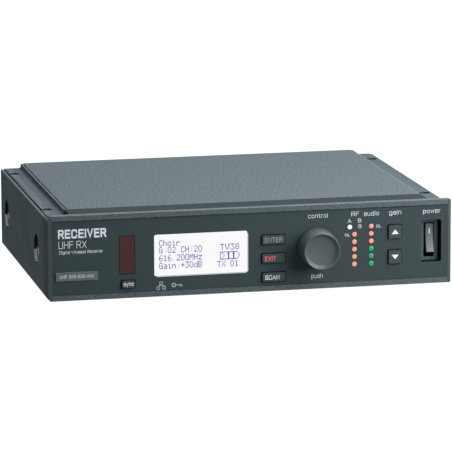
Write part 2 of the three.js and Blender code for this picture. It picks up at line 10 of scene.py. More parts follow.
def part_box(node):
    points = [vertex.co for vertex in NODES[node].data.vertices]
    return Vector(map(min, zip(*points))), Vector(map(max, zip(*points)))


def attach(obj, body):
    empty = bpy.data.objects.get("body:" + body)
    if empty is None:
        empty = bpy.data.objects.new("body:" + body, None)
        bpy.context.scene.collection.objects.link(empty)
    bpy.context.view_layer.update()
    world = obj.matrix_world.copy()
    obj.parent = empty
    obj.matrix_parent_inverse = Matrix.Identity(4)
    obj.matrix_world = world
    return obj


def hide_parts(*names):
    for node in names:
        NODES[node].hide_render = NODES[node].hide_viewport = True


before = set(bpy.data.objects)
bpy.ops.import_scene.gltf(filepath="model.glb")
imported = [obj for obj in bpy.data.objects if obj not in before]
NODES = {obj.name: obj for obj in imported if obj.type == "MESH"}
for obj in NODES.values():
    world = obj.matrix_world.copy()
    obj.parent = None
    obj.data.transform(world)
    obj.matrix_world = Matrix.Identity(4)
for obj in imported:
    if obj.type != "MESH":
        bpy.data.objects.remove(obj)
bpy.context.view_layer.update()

MM = 0.001
ROOT = "receiver"

# ---- Places worked out from the frame ----------------------------------------------------------

FRAME_LOW, FRAME_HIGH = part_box("front_frame")
WINDOW_LOW, WINDOW_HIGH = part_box("display_window")
KNOB_LOW, KNOB_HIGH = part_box("control_knob")
FRONT_Y = FRAME_LOW.y
FACE_Y = FRONT_Y + 0.7 * MM  # the panel face sits back from the frame
REAR_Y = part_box("rear_panel")[1].y
INK = 0.03 * MM  # thickness of printed ink


def middle(node):
    low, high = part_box(node)
    return (low + high) / 2


# ---- Camera, light and stage -------------------------------------------------------------------

CAMERA_AT = Vector((-0.3576, -1.6646, 0.344))
CAMERA_YAW, CAMERA_DIP, CAMERA_ROLL = 12.214, 10.781, -0.292  # degrees
CAMERA_SHIFT = (0.0022, -0.0064)
SENSOR = 36.0
LENS = 276.3
NEAREST, FURTHEST = 0.05, 20  # what the camera sees, in metres

# Each softbox: place, aim, size and power.
SOFTBOXES = {
    "overhead": ((0.3, 0.15, 0.85), (0, 0, 0), 0.9, 14.2),
    "key": ((0.29, -0.31, 0.2), (0.05, -0.07, 0.02), 0.34, 2.1),
}
FLOOR_REACH = 6.0
FLOOR_GAP = 0.3 * MM  # keeps the floor clear of the base
FLOOR_GREY, FLOOR_GLOW = 0.06, 0.97
FILL_COLOR, FILL_STRENGTH = (0.93, 0.97, 1, 1), 0.28
WHITE = (1, 1, 1, 1)


def add_camera():
    data = bpy.data.cameras.new("camera")
    data.sensor_width = SENSOR
    data.lens = LENS
    data.shift_x, data.shift_y = CAMERA_SHIFT
    data.clip_start, data.clip_end = NEAREST, FURTHEST
    camera = bpy.data.objects.new("camera", data)
    turn = Matrix.Rotation(math.radians(-CAMERA_YAW), 4, "Z")
    dip = Matrix.Rotation(math.radians(90 - CAMERA_DIP), 4, "X")
    roll = Matrix.Rotation(math.radians(CAMERA_ROLL), 4, "Z")
    camera.matrix_world = Matrix.Translation(CAMERA_AT) @ turn @ dip @ roll
    bpy.context.scene.collection.objects.link(camera)
    bpy.context.scene.camera = camera


def add_softbox(name, at, aim, size, power):
    data = bpy.data.lights.new(name, "AREA")
    data.shape = "RECTANGLE"
    data.size = data.size_y = size
    data.energy = power
    light = bpy.data.objects.new(name, data)
    light.location = at
    light.rotation_euler = (Vector(aim) - Vector(at)).to_track_quat("-Z", "Y").to_euler()
    bpy.context.scene.collection.objects.link(light)


def add_stage():
    mesh = bpy.data.meshes.new("floor")
    corners = [(x * FLOOR_REACH, y * FLOOR_REACH, 0) for x, y in ((-1, -1), (1, -1), (1, 1), (-1, 1))]
    mesh.from_pydata(corners, [], [(0, 1, 2, 3)])
    floor = bpy.data.objects.new("floor", mesh)
    floor.location.z = -FLOOR_GAP
    bpy.context.scene.collection.objects.link(floor)
    material, _, _, shader = new_material("floor_paper")
    shader.inputs["Base Color"].default_value = (FLOOR_GREY, FLOOR_GREY, FLOOR_GREY, 1)
    shader.inputs["Roughness"].default_value = 0.9
    shader.inputs["Emission Color"].default_value = WHITE
    shader.inputs["Emission Strength"].default_value = FLOOR_GLOW
    mesh.materials.append(material)
    floor.visible_diffuse = False
    floor.visible_glossy = False


def add_world():
    """White to the camera, and a dimmer, slightly cool fill to everything else."""
    world = bpy.data.worlds.new("studio")
    bpy.context.scene.world = world
    world.use_nodes = True
    nodes, links = world.node_tree.nodes, world.node_tree.links
    nodes.clear()
    output = nodes.new("ShaderNodeOutputWorld")
    mix = nodes.new("ShaderNodeMixShader")
    seen = nodes.new("ShaderNodeBackground")
    fill = nodes.new("ShaderNodeBackground")
    path = nodes.new("ShaderNodeLightPath")
    seen.inputs["Color"].default_value = WHITE
    fill.inputs["Color"].default_value = FILL_COLOR
    fill.inputs["Strength"].default_value = FILL_STRENGTH
    links.new(path.outputs["Is Camera Ray"], mix.inputs[0])
    links.new(fill.outputs[0], mix.inputs[1])
    links.new(seen.outputs[0], mix.inputs[2])
    links.new(mix.outputs[0], output.inputs["Surface"])


# ---- Materials ---------------------------------------------------------------------------------

FAR = 1  # metres, past the object on every side
NOISE_ROUGHNESS = 0.6
RAMP_ENDS = (0.3, 0.7)  # where noise gives the darker and the lighter colour
ROUGH_DRIFT, DRIFT_SCALE = 0.05, 12  # how far the roughness drifts, and how much broader than the grain
HAZE_SCALE, HAZE_DIP = 900, 0.96  # the faint unevenness of a light
COARSE = 2.0  # the noise detail of that drift and haze


def new_material(name):
    material = bpy.data.materials.new(name)
    material.use_nodes = True
    nodes, links = material.node_tree.nodes, material.node_tree.links
    return material, nodes, links, nodes["Principled BSDF"]


def add_noise(nodes, links, scale, detail=4.0):
    """Fine noise in the part's own frame."""
    place = nodes.new("ShaderNodeTexCoord")
    noise = nodes.new("ShaderNodeTexNoise")
    noise.inputs["Scale"].default_value = scale
    noise.inputs["Detail"].default_value = detail
    noise.inputs["Roughness"].default_value = NOISE_ROUGHNESS
    links.new(place.outputs["Object"], noise.inputs["Vector"])
    return noise


def add_ramp(nodes, links, source, low, high):
    ramp = nodes.new("ShaderNodeValToRGB")
    for element, position, color in zip(ramp.color_ramp.elements, RAMP_ENDS, (low, high)):
        element.position = position
        element.color = (*color, 1)
    links.new(source, ramp.inputs["Fac"])
    return ramp.outputs["Color"]


def add_bump(nodes, links, shader, height, strength, distance):
    bump = nodes.new("ShaderNodeBump")
    bump.inputs["Strength"].default_value = strength
    bump.inputs["Distance"].default_value = distance
    links.new(height, bump.inputs["Height"])
    links.new(bump.outputs["Normal"], shader.inputs["Normal"])


def shade(color, factor):
    return tuple(min(1.0, c * factor) for c in color)


def grained(name, color, roughness, grain, spread, bump, metal=0.0, depth=0.04 * MM, specular=0.5,
            patches=()):
    """A surface with a fine grain of the given scale, a colour drift and a bump.

    Each patch is a mask, built by a function, and the colour that the surface takes inside it."""
    material, nodes, links, shader = new_material(name)
    fine = add_noise(nodes, links, grain)
    color_out = add_ramp(nodes, links, fine.outputs["Fac"],
                         shade(color, 1 - spread), shade(color, 1 + spread))
    for mask, patch_color in patches:
        color_out = blend(nodes, links, mask(nodes, links), color_out, patch_color)
    links.new(color_out, shader.inputs["Base Color"])
    broad = add_noise(nodes, links, grain / DRIFT_SCALE, COARSE)
    rough_out = add_ramp(nodes, links, broad.outputs["Fac"],
                         (roughness - ROUGH_DRIFT,) * 3, (roughness + ROUGH_DRIFT,) * 3)
    links.new(rough_out, shader.inputs["Roughness"])
    shader.inputs["Metallic"].default_value = metal
    shader.inputs["Specular IOR Level"].default_value = specular
    add_bump(nodes, links, shader, fine.outputs["Fac"], bump, depth)
    return material


def blend(nodes, links, mask, color_out, color):
    """Mixes a flat colour over the colour so far wherever the mask is 1."""
    mix = nodes.new("ShaderNodeMix")
    mix.data_type = "RGBA"
    mix.inputs["B"].default_value = (*color, 1)
    links.new(mask, mix.inputs["Factor"])
    links.new(color_out, mix.inputs["A"])
    return mix.outputs["Result"]


def math_node(nodes, links, operation, *inputs):
    """One sum on sockets or plain numbers."""
    node = nodes.new("ShaderNodeMath")
    node.operation = operation
    for socket, value in zip(node.inputs, inputs):
        if isinstance(value, (int, float)):
            socket.default_value = value
        else:
            links.new(value, socket)
    return node.outputs[0]


def place_of(nodes, links):
    place = nodes.new("ShaderNodeTexCoord")
    split = nodes.new("ShaderNodeSeparateXYZ")
    links.new(place.outputs["Object"], split.inputs[0])
    return split.outputs


def within(x=None, y=None, z=None):
    """A mask that is 1 inside a box of the part's own frame. A side left out is open."""
    def mask(nodes, links):
        whole = 1.0
        for span, out in zip((x, y, z), place_of(nodes, links)):
            if span:
                low = math_node(nodes, links, "GREATER_THAN", out, span[0])
                high = math_node(nodes, links, "LESS_THAN", out, span[1])
                both = math_node(nodes, links, "MULTIPLY", low, high)
                whole = math_node(nodes, links, "MULTIPLY", whole, both)
        return whole
    return mask


def around_holes(centres, radius):
    """A mask that is 1 close to each axis along X, given by its y and z."""
    def mask(nodes, links):
        _, y_out, z_out = place_of(nodes, links)
        nearest = FAR
        for y, z in centres:
            across = math_node(nodes, links, "POWER", math_node(nodes, links, "SUBTRACT", y_out, y), 2.0)
            up = math_node(nodes, links, "POWER", math_node(nodes, links, "SUBTRACT", z_out, z), 2.0)
            reach = math_node(nodes, links, "SQRT", math_node(nodes, links, "ADD", across, up))
            nearest = math_node(nodes, links, "MINIMUM", nearest, reach)
        return math_node(nodes, links, "LESS_THAN", nearest, radius)
    return mask


def glowing(name, color, strength, roughness=0.25, reflect=1.0):
    """A lit surface. Its own colour, as other light shows it, is reflect times the colour it gives off."""
    material, nodes, links, shader = new_material(name)
    haze = add_noise(nodes, links, HAZE_SCALE, COARSE)
    out = add_ramp(nodes, links, haze.outputs["Fac"], shade(color, HAZE_DIP), color)
    body = add_ramp(nodes, links, haze.outputs["Fac"],
                    shade(color, HAZE_DIP * reflect), shade(color, reflect))
    links.new(body, shader.inputs["Base Color"])
    links.new(out, shader.inputs["Emission Color"])
    shader.inputs["Emission Strength"].default_value = strength
    shader.inputs["Roughness"].default_value = roughness
    return material


PAINT = (0.0535, 0.0785, 0.09)
PANEL = (0.0412, 0.0622, 0.066)
RECESS_SHADE = (0.006, 0.012, 0.012)  # painted shade for recesses that next to no light reaches
# bare metal, made as light as a painted highlight
BARE_AND_HIGHLIGHT = (0.85, 0.87, 0.9)


def cover_patches():
    """The right ledge darker, the left ledge darker beside the step as a painted shadow of the step, and a
    painted highlight along the right edge of the raised middle.
    """
    ledge, strip = 88.9 * MM, 93.2 * MM
    above_ledge, near_top = 39.4 * MM, 40.4 * MM
    painted_edge_highlight = (87.75 * MM, 88.6 * MM)
    return [(within(x=(ledge, FAR)), shade(PAINT, 0.8)),
            # painted shadow of the step on the left ledge
            (within(x=(-strip, -ledge), z=(0, above_ledge)), shade(PAINT, 0.72)),
            # painted highlight along the cover's right edge
            (within(x=painted_edge_highlight, z=(near_top, FAR)), shade(PAINT, 2.2))]


def tray_patches():
    """The wall of each rack hole in the sides, dark with painted shade, and over its lower part bare metal
    lit up as a painted highlight.
    """
    behind_front, level, radius = (38.4, 131.9), 18.5 * MM, 7.3 * MM
    ring = around_holes([(FRONT_Y + depth * MM, level) for depth in behind_front], radius)
    low_part = within(z=(11.6 * MM, 16.9 * MM))

    def bare_edge_and_highlight(nodes, links):
        return math_node(nodes, links, "MULTIPLY", ring(nodes, links), low_part(nodes, links))
    # the dark ring is painted shade; the light lower part is bare metal and a painted highlight
    return [(ring, RECESS_SHADE), (bare_edge_and_highlight, BARE_AND_HIGHLIGHT)]


def frame_patches():
    """The frame's flanks, which are as dark as the panel, and its right strip, whose inner edge is painted
    light where it would lie in shade.
    """
    side, flank, strip = FRAME_HIGH.x, 1.5 * MM, 2.6 * MM
    between = within(x=(flank - side, side - flank))
    strip_face = within(x=(side - strip, FAR), y=(-FAR, FRONT_Y + 0.5 * MM), z=(2.4 * MM, 38.4 * MM))
    painted_light_inner_edge = within(x=(96.9 * MM, 97.16 * MM), y=(FRONT_Y + 0.12 * MM, FACE_Y + 0.3 * MM))

    def flanks(nodes, links):
        return math_node(nodes, links, "SUBTRACT", 1.0, between(nodes, links))
    # the right strip's inner edge is painted light, lifted out of its shade
    return [(flanks, shade(PANEL, 1.15)), (strip_face, shade(PANEL, 1.3)), (painted_light_inner_edge, shade(PANEL, 4.5))]


def moulding_patches():
    """The shelf on top of the panel moulding, and the painted shade on its walls behind the face."""
    half, deck, behind_face = 97 * MM, 39 * MM, FACE_Y + 0.3 * MM
    shelf = within(y=(FRAME_HIGH.y, FAR), z=(deck, FAR))
    walls = within(x=(-half, half), y=(behind_face, FAR), z=(0, deck - 0.1 * MM))
    # the walls behind the face are painted shade
    return [(shelf, (0.012, 0.021, 0.025)), (walls, RECESS_SHADE)]


def rack_plate_patches():
    """What shows of a plate through its hole: painted light up to a level, and a painted highlight in a band
    below it.
    """
    light_top, band = 18.4 * MM, (14.4 * MM, 18 * MM)
    return [(within(z=(0, light_top)), (0.3, 0.32, 0.34)), (within(z=band), (0.75, 0.77, 0.8))]


def make_materials():
    """Each grained line gives a name, colour, roughness, grain, spread and bump."""
    nickel = (0.66, 0.64, 0.6)
    insert_floor = within(y=(-FAR, REAR_Y - 10.9 * MM))
    painted_shade_well = within(y=(FRONT_Y + 4.6 * MM, FAR))
    return {
        "paint": grained("case_powder_coat", PAINT, 0.6, 1000, 1.15, 0.6, depth=0.06 * MM,
                         patches=cover_patches()),
        "rear": grained("rear_powder_coat", PAINT, 0.6, 1000, 0.6, 0.6, depth=0.06 * MM),
        "plug_insert": grained("plug_pins", nickel, 0.3, 900, 0.05, 0.06, metal=1.0,
                               patches=[(insert_floor, (0.012, 0.012, 0.013))]),
        "tray": grained("tray_powder_coat", (0.052, 0.087, 0.096), 0.6, 650, 0.3, 0.5,
                        patches=tray_patches()),
        "frame": grained("frame_satin_paint", (0.079, 0.105, 0.114), 0.5, 1300, 0.6, 0.4,
                         patches=frame_patches()),
        "panel": grained("panel_film", PANEL, 0.6, 1500, 0.06, 0.12, specular=0.2,
                         patches=moulding_patches()),
        "key": grained("key_plastic", shade(PANEL, 0.95), 0.5, 2400, 0.06, 0.15),
        "knob": grained("knob_soft_touch", (0.084, 0.106, 0.114), 0.34, 2600, 0.05, 0.12),
        "rocker": grained("rocker_plastic", (0.122, 0.156, 0.17), 0.43, 2600, 0.06, 0.12),
        # the switch well behind the face is painted shade
        "housing": grained("switch_housing_plastic", shade(PANEL, 1.3), 0.5, 2600, 0.06, 0.15,
                           patches=[(painted_shade_well, RECESS_SHADE)]),
        "black": grained("black_plastic", (0.018, 0.019, 0.02), 0.45, 1800, 0.15, 0.2),
        "white_plastic": grained("natural_plastic", (0.72, 0.71, 0.67), 0.5, 1500, 0.04, 0.1),
        "label": grained("label_plate", (0.122, 0.15, 0.16), 0.4, 2000, 0.05, 0.1),
        "ir": grained("infrared_filter", (0.07, 0.023, 0.02), 0.3, 1400, 0.04, 0.02),
        "board": grained("solder_mask", (0.012, 0.1, 0.045), 0.35, 700, 0.2, 0.3),
        "nickel": grained("nickel_plate", nickel, 0.28, 900, 0.05, 0.06, metal=1.0),
        "steel": grained("zinc_plate", (0.6, 0.61, 0.63), 0.38, 700, 0.1, 0.15, metal=1.0),
        # black zinc, with painted light and a painted highlight where it shows through the side holes
        "zinc": grained("black_zinc_painted_light", (0.04, 0.045, 0.05), 0.4, 700, 0.1, 0.15,
                        patches=rack_plate_patches()),
        "gold": grained("gold_plate", (0.83, 0.6, 0.22), 0.25, 900, 0.05, 0.05, metal=1.0),
        "pipe": grained("light_pipe", (0.3, 0.3, 0.3), 0.35, 1400, 0.04, 0.05),
        "screen": glowing("display_light", (0.97, 0.97, 1.0), 0.97, 0.3, reflect=0.03),
        "screen_edge": glowing("display_edge", (0.7, 0.68, 0.8), 0.8, 0.3, reflect=0.1),
        "ink_white": grained("ink_white", (0.86, 0.86, 0.95), 0.5, 3000, 0.03, 0.05),
        "ink_grey": grained("ink_grey", (0.48, 0.55, 0.57), 0.5, 3000, 0.03, 0.05),
        "ink_bright": grained("ink_icons", (0.5, 0.54, 0.56), 0.5, 3000, 0.03, 0.05),
        "ink_plate": grained("ink_plate", (0.85, 0.88, 0.92), 0.5, 3000, 0.03, 0.05),
        "ink_red": grained("ink_red", (0.95, 0.17, 0.19), 0.5, 3000, 0.03, 0.05),
        "dots": grained("display_dots", (0.22, 0.08, 0.5), 0.6, 3000, 0.03, 0.0),
        "led_red": glowing("light_salmon", (1.0, 0.33, 0.25), 0.72, reflect=0.4),
        "led_green": glowing("light_green", (0.0, 0.36, 0.15), 0.9, reflect=0.4),
        "led_white": glowing("light_white", (0.9, 0.96, 1.0), 0.9, reflect=0.3),
        # an unlit light, given a faint painted glow
        "led_grey": glowing("light_off_painted_glow", (0.2, 0.23, 0.25), 0.25),
    }


# ---- Mesh helpers ------------------------------------------------------------------------------


def soften_shading(piece, degrees):
    """Smooth shading, kept sharp where faces meet at more than so many degrees."""
    piece.data.shade_smooth()
    edge = piece.modifiers.new("edges", "EDGE_SPLIT")
    edge.split_angle = math.radians(degrees)


def add_piece(name, mesh, material, body, smooth=None):
    """A piece that rides a body, smooth where faces meet at less than an angle, if one is given."""
    piece = bpy.data.objects.new(name, mesh)
    bpy.context.scene.collection.objects.link(piece)
    mesh.materials.append(material)
    if smooth is not None:
        soften_shading(piece, smooth)
    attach(piece, body)
    return piece


def mesh_of(build):
    """A mesh filled by a function that takes a bmesh."""
    bm = bmesh.new()
    build(bm)
    bmesh.ops.recalc_face_normals(bm, faces=bm.faces)
    mesh = bpy.data.meshes.new("piece")
    bm.to_mesh(mesh)
    bm.free()
    return mesh


def add_box(bm, low, high):
    centre = (Vector(low) + Vector(high)) / 2
    size = Vector(high) - Vector(low)
    bmesh.ops.create_cube(bm, size=1, matrix=Matrix.Translation(centre) @ Matrix.Diagonal((*size, 1)))


def add_loft(bm, outlines):
    """A closed solid through outlines that have the same number of points."""
    rows = [[bm.verts.new(point) for point in outline] for outline in outlines]
    bm.faces.new(rows[0])
    bm.faces.new(rows[-1][::-1])
    for near, far in zip(rows, rows[1:]):
        for i in range(len(near)):
            j = (i + 1) % len(near)
            bm.faces.new([near[i], near[j], far[j], far[i]])


def add_turned(bm, profile, steps, centre):
    """A solid of revolution along Y. The profile is (radius, y), from axis to axis or closed on itself."""
    turns = [2 * math.pi * i / steps for i in range(steps)]
    rings = []
    for radius, y in profile:
        rings.append([bm.verts.new((centre[0] + radius * math.cos(t), y, centre[2] + radius * math.sin(t)))
                      for t in (turns if radius else turns[:1])])
    for near, far in zip(rings, rings[1:]):
        for i in range(steps):
            j = (i + 1) % steps
            ring = [near[i % len(near)], near[j % len(near)], far[j % len(far)], far[i % len(far)]]
            corners = list(dict.fromkeys(ring))
            if len(corners) > 2:
                bm.faces.new(corners)


# ---- Printed marks -----------------------------------------------------------------------------

# Each letter is its width and its strokes, on centre lines with capitals 12 high and a baseline at 0.
# "~" starts a rounded stroke and "@" a rounded closed one.
LETTERS = {
    "A": (10, "0,0 5,12 10,0|1.8,4.2 8.2,4.2"),
    "B": (8.8, "5,12 0,12 0,0 5,0|~5,12 8.3,12 8.3,6.3 5,6.3|0,6.3 5,6.3|~5,6.3 9,6.3 9,0 5,0"),
    "C": (9.3, "~9.3,9 8.6,12 4.8,12 0,12 0,6 0,0 4.8,0 8.6,0 9.3,3.2"),
    "D": (9.2, "4,12 0,12 0,0 4,0|~4,12 9.2,12 9.2,6 9.2,0 4,0"),
    "E": (8, "8,12 0,12 0,0 8,0|0,6.3 7.3,6.3"),
    "F": (7.5, "7.5,12 0,12 0,0|0,6.2 6.6,6.2"),
    "H": (8.6, "0,0 0,12|8.6,0 8.6,12|0,6.3 8.6,6.3"),
    "I": (0, "0,0 0,12"),
    "L": (7, "0,12 0,0 7,0"),
    "M": (10, "0,0 0,12 5,1.5 10,12 10,0"),
    "N": (8.8, "0,0 0,12 8.8,0 8.8,12"),
    "O": (10, "@0,12 0,0 10,0 10,12"),
    "R": (8.8, "5.5,12 0,12 0,0|~5.5,12 8.6,12 8.6,5.9 5.5,5.9|5.5,5.9 0,5.9|5,5.9 8.8,0"),
    "S": (8.4, "~7.8,9.6 7.4,12 4.2,12 0.3,12 0.3,6.9 4.2,6.2 8.4,5.5 8.4,0 4.2,0 0.4,0 0,2.6"),
    "T": (8.6, "0,12 8.6,12|4.3,12 4.3,0"),
    "U": (8.6, "~0,12 0,4 0,0 4.3,0 8.6,0 8.6,4 8.6,12"),
    "V": (9, "0,12 4.5,0 9,12"),
    "W": (14, "0,12 3.6,0 7,11.5 10.4,0 14,12"),
    "X": (8.8, "0,0 8.8,12|0,12 8.8,0"),
    "a": (6.2, "~0.4,6.6 0.8,9 3.4,9 6.2,9 6.2,6 6.2,0|~6.2,5 3.4,5 0,5 0,0 3.2,0 6.2,0 6.2,3.4"),
    "b": (7, "0,12 0,0|@0,9 0,0 7,0 7,9"),
    "c": (6.4, "~6.3,7.2 5.6,9 3.4,9 0,9 0,4.5 0,0 3.4,0 5.7,0 6.4,1.9"),
    "d": (7, "7,12 7,0|@0,9 0,0 7,0 7,9"),
    "e": (6.8, "~6.6,2.3 5.8,0 3.5,0 0,0 0,4.5 0,9 3.5,9 6.8,9 6.8,4.6|6.8,4.6 0,4.6"),
    "g": (7, "@0,9 0,0 7,0 7,9|~7,9 7,0 7,-3.6 3.4,-3.6 0.6,-3.6 0.4,-1.8"),
    "h": (6.6, "0,0 0,12|~0,4.5 0,9 3.6,9 6.6,9 6.6,5 6.6,0"),
    "i": (0, "0,0 0,9|0,11.2 0,12.4"),
    "k": (6.2, "0,0 0,12|5.8,9 0.2,3.4|2.2,5.2 6.2,0"),
    "l": (0, "0,0 0,12"),
    "m": (10.4, "0,0 0,9|~0,4.5 0,9 2.8,9 5.2,9 5.2,5 5.2,0|~5.2,4.5 5.2,9 8,9 10.4,9 10.4,5 10.4,0"),
    "n": (6.6, "0,0 0,9|~0,4.5 0,9 3.6,9 6.6,9 6.6,5 6.6,0"),
    "o": (7, "@0,9 0,0 7,0 7,9"),
    "p": (7, "0,9 0,-3.6|@0,9 0,0 7,0 7,9"),
    "r": (3.6, "0,0 0,9|~0,4.5 0,9 3.6,8.9"),
    "s": (5.8, "~5.6,6.8 5.4,9 3,9 0.3,9 0.2,5 3,4.6 5.9,4.2 5.8,0 3,0 0.2,0 0,2.4"),
    "t": (3.6, "~1.5,11.5 1.5,3 1.5,0 3.7,0.1|0,9 3.6,9"),
    "u": (6.6, "~0,9 0,4 0,0 3.2,0 6.6,0 6.6,4.5|6.6,9 6.6,0"),
    "v": (6.4, "0,9 3.2,0 6.4,9"),
    "w": (9.6, "0,9 2.4,0 4.8,8.4 7.2,0 9.6,9"),
    "y": (6.6, "0,9 3.4,0|~6.7,9 3.3,-0.5 2.4,-3.4 0.4,-3.4"),
    "z": (6, "0,9 6,9 0,0 6,0"),
    "0": (7.4, "@0,12 0,0 7.4,0 7.4,12"),
    "1": (3, "0.2,9.4 2.8,12 2.8,0"),
    "2": (7.4, "~0.2,8.8 0.4,12 3.8,12 7.4,12 7.4,8 5,5.4 0,2 0,0|0,0 7.4,0"),
    "5": (7.6, "6.8,12 1.3,12 0.6,5.8|~0.6,5.8 1.6,7.6 3.8,7.6 7.6,7.6 7.6,0 3.6,0 0.3,0 0,2.6"),
    "6": (7.4, "~7,9.4 6.6,12 4,12 0,12 0,5 0,3.7|@0,7.4 0,0 7.4,0 7.4,7.4"),
    "-": (3.6, "0,4.4 3.6,4.4"),
    " ": (1, ""),
}
LETTER_CAP = 12
LETTER_SPACE = 3.7
TITLE_SPACE = 5.0  # between the bold letters of the title
MITRE_LIMIT = 1.7
CROSSING_RISE = 0.15  # how much higher each stroke of a letter is than the one before, in ink thicknesses


def soften(points, closed):
    """Cuts the corners off a line until it is round."""
    for _ in range(3):
        pairs = list(zip(points, points[1:] + points[:1]))
        if not closed:
            pairs = pairs[:-1]
        cut = [p for a, b in pairs for p in (a.lerp(b, 0.25), a.lerp(b, 0.75))]
        points = cut if closed else [points[0], *cut, points[-1]]
    return points


def letter_strokes(letter, shift):
    """Each stroke's points, whether it closes, and its height, a little different where strokes cross."""
    for order, text in enumerate(filter(None, LETTERS[letter][1].split("|"))):
        closed, round_ = text[0] == "@", text[0] in "@~"
        pairs = [pair.split(",") for pair in text.lstrip("@~").split()]
        points = [Vector((float(x) + shift, float(z))) for x, z in pairs]
        yield (soften(points, closed) if round_ else points), closed, 1 + CROSSING_RISE * order


def ribbon_sides(points, closed, half):
    """The two edges of a stroke, with mitred corners."""
    count = len(points)
    steps = [(b - a).normalized() for a, b in zip(points, points[1:] + points[:1])]
    left, right = [], []
    for i, point in enumerate(points):
        before = steps[i - 1] if closed or i else steps[0]
        after = steps[i] if closed or i < count - 1 else steps[count - 2]
        across = Vector((-(before + after).y, (before + after).x))
        across = across.normalized() if across.length > 1e-6 else Vector((-after.y, after.x))
        grow = min(MITRE_LIMIT, 1 / max(0.1, across.dot(Vector((-after.y, after.x)))))
        end = 0 if closed or 0 < i < count - 1 else (-half if i == 0 else half)
        left.append(point + across * half * grow + after * end)
        right.append(point - across * half * grow + after * end)
    return left, right


def add_ribbon(bm, left, right, closed, deep, to_place):
    """A thin strip between two edges, deep ink thicknesses high."""
    rows = [[bm.verts.new(to_place(p, top)) for p in edge] for edge in (left, right) for top in (deep, 0)]
    left_top, left_low, right_top, right_low = rows
    count = len(left)
    for i in range(count if closed else count - 1):
        j = (i + 1) % count
        for a, b in ((left_top, right_top), (right_low, left_low),
                     (left_low, left_top), (right_top, right_low)):
            bm.faces.new([a[i], a[j], b[j], b[i]])
    if not closed:
        for i in (0, count - 1):
            bm.faces.new([left_top[i], right_top[i], right_low[i], left_low[i]])


def add_label(name, text, at, cap, width, y, material, body=ROOT, weight=1.5, back=False, gap=LETTER_SPACE):
    """Raised lettering, cap millimetres high and width millimetres wide, centred on x and standing on z.

    The strokes' weight and the gap between letters are in the letters' own units."""
    facing = -1 if back else 1
    strokes, shift = [], 0.0
    for letter in text:
        strokes += letter_strokes(letter, shift)
        shift += LETTERS[letter][0] + gap
    whole = shift - gap
    stretch = (width * MM) / (whole + weight)
    rise = cap * MM / (LETTER_CAP + weight)

    def to_place(point, deep):
        x = at[0] + facing * (point.x - whole / 2) * stretch
        return (x, y - facing * INK * deep, at[1] + (point.y + weight / 2) * rise)

    def build(bm):
        for points, closed, deep in strokes:
            left, right = ribbon_sides(points, closed, weight / 2)
            add_ribbon(bm, left, right, closed, deep, to_place)
    return add_piece(name, mesh_of(build), material, body)


# Five-by-seven dot characters, each as seven rows of five columns, read as bits from the left.
GLYPHS = {
    "0": "0e 11 11 11 11 11 0e", "1": "04 0c 04 04 04 04 0e", "2": "0e 11 01 02 04 08 1f",
    "3": "1f 02 04 02 01 11 0e", "6": "06 08 10 1e 11 11 0e", "8": "0e 11 11 0e 11 11 0e",
    "B": "1e 11 11 1e 11 11 1e", "C": "0e 11 10 10 10 11 0e", "G": "0e 11 10 17 11 11 0f",
    "H": "11 11 11 1f 11 11 11", "M": "11 1b 15 15 11 11 11", "T": "1f 04 04 04 04 04 04",
    "V": "11 11 11 11 0a 0a 04", "X": "11 11 0a 04 0a 11 11", "a": "00 00 0e 01 0f 11 0f",
    "d": "01 01 0d 13 11 11 0f", "h": "10 10 16 19 11 11 11", "i": "04 00 0c 04 04 04 0e",
    "n": "00 00 16 19 11 11 11", "o": "00 00 0e 11 11 11 0e", "r": "00 00 16 19 10 10 10",
    "z": "00 00 1f 02 04 08 1f", ":": "00 00 04 00 00 04 00", ".": "00 00 00 00 00 00 08",
    "+": "00 04 04 1f 04 04 00", " ": "00 00 00 00 00 00 00",
}
DOT_W, DOT_H = 0.355 * MM, 0.43 * MM
DOT_FILL = 1.02  # share of its cell that a dot fills


def add_dot(bm, x, z, columns=1, rows=1, wide=DOT_W):
    """One dot of the display, or a bar as wide and as tall as so many dots."""
    low = (x, WINDOW_LOW.y - INK, z)
    high = (x + wide * (columns - 1 + DOT_FILL), WINDOW_LOW.y, z + DOT_H * (rows - 1 + DOT_FILL))
    add_box(bm, low, high)


def add_line(bm, text, left, base, wide=DOT_W):
    """A line of dot characters from its left edge, standing on base."""
    for place, letter in enumerate(text):
        rows = [int(row, 16) for row in GLYPHS[letter].split()]
        for r, row in enumerate(rows):
            for c in range(5):
                if row >> (4 - c) & 1:
                    add_dot(bm, left + wide * (place * 6 + c), base + DOT_H * (6 - r), wide=wide)


def add_battery(bm, left, base):
    """A battery outline with a round end, two bars and a pointer."""
    wide, tall = 27, 9
    add_dot(bm, left, base, wide - 3, 1)
    add_dot(bm, left, base + DOT_H * (tall - 1), wide - 3, 1)
    add_dot(bm, left, base + DOT_H, 1, tall - 2)
    for r in range(tall):
        bulge = 3 - round(0.2 * (r - (tall - 1) / 2) ** 2)  # rounds the end
        add_dot(bm, left + DOT_W * (wide - 4 + bulge), base + DOT_H * r)
    for bar in (11, 18):
        add_dot(bm, left + DOT_W * bar, base + DOT_H, 2, tall - 2)
        add_dot(bm, left + DOT_W * (bar - 1), base + DOT_H * (tall - 3))
    for r in range(tall - 2):
        add_dot(bm, left + DOT_W * (6 - 1.2 * abs(r - 3)), base + DOT_H * (1 + r))


def display_marks(bm):
    """Four lines on the left, and on the right a channel in wider dots, the battery and a name."""
    left, base = WINDOW_LOW.x + 2.1 * MM, WINDOW_LOW.z
    for text, rise in (("Choir", 14.4), ("G:02 CH:20", 11.0), ("616.200MHz", 7.1), ("Gain:+30dB", 3.4)):
        add_line(bm, text, left, base + rise * MM)
    add_line(bm, "TV38", left + 29.8 * MM, base + 11.2 * MM, DOT_W * 1.15)
    add_battery(bm, left + 29.7 * MM, base + 6.55 * MM)
    add_line(bm, "TX 01", left + 28.4 * MM, base + 3.0 * MM)


